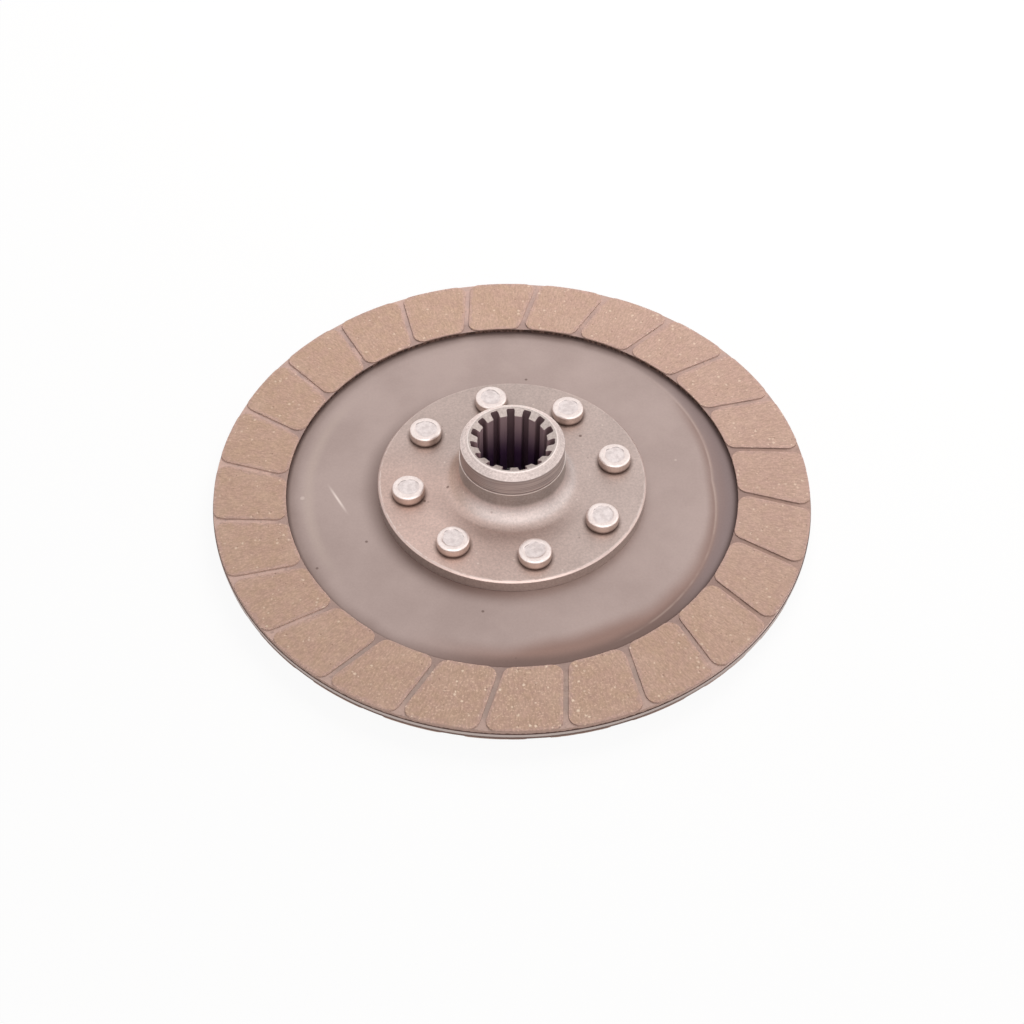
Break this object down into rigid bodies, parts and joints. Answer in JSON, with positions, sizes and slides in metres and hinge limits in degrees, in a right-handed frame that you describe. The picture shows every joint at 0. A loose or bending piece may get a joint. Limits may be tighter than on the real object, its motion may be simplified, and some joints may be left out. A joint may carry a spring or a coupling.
{
  "type": "clutch disc",
  "caption": "Rigid clutch disc: splined hub riveted to a thin steel plate whose rim carries slanted friction pads on both faces, turning a shaft when clamped.",
  "frame": {"origin": "on the disc's axis, in the plane of the hub's rear end face", "axes": "+Z along the axis towards the long splined barrel of the hub; X and Y lie in the plane of the disc"},
  "size_m": [0.225, 0.225, 0.033],
  "materials": {
    "hub_steel": "forged and part turned, satin",
    "plate_steel": "rolled, satin",
    "rivet_steel": "bright, pressed",
    "backing": "grey bonded compound, matt",
    "friction": "ground friction composite, matt"
  },
  "bodies": {
    "root": {"hub": "hub_steel", "core_plate": "plate_steel", "hub_rivets": "rivet_steel", "front_backing_ring": "backing", "rear_backing_ring": "backing", "front_pad_01": "friction", "front_pad_02": "friction", "front_pad_03": "friction", "front_pad_04": "friction", "front_pad_05": "friction", "front_pad_06": "friction", "front_pad_07": "friction", "front_pad_08": "friction", "front_pad_09": "friction", "front_pad_10": "friction", "front_pad_11": "friction", "front_pad_12": "friction", "front_pad_13": "friction", "front_pad_14": "friction", "front_pad_15": "friction", "front_pad_16": "friction", "front_pad_17": "friction", "front_pad_18": "friction", "front_pad_19": "friction", "front_pad_20": "friction", "front_pad_21": "friction", "front_pad_22": "friction", "front_pad_23": "friction", "front_pad_24": "friction", "rear_pad_01": "friction", "rear_pad_02": "friction", "rear_pad_03": "friction", "rear_pad_04": "friction", "rear_pad_05": "friction", "rear_pad_06": "friction", "rear_pad_07": "friction", "rear_pad_08": "friction", "rear_pad_09": "friction", "rear_pad_10": "friction", "rear_pad_11": "friction", "rear_pad_12": "friction", "rear_pad_13": "friction", "rear_pad_14": "friction", "rear_pad_15": "friction", "rear_pad_16": "friction", "rear_pad_17": "friction", "rear_pad_18": "friction", "rear_pad_19": "friction", "rear_pad_20": "friction", "rear_pad_21": "friction", "rear_pad_22": "friction", "rear_pad_23": "friction", "rear_pad_24": "friction"}
  },
  "joints": []
}
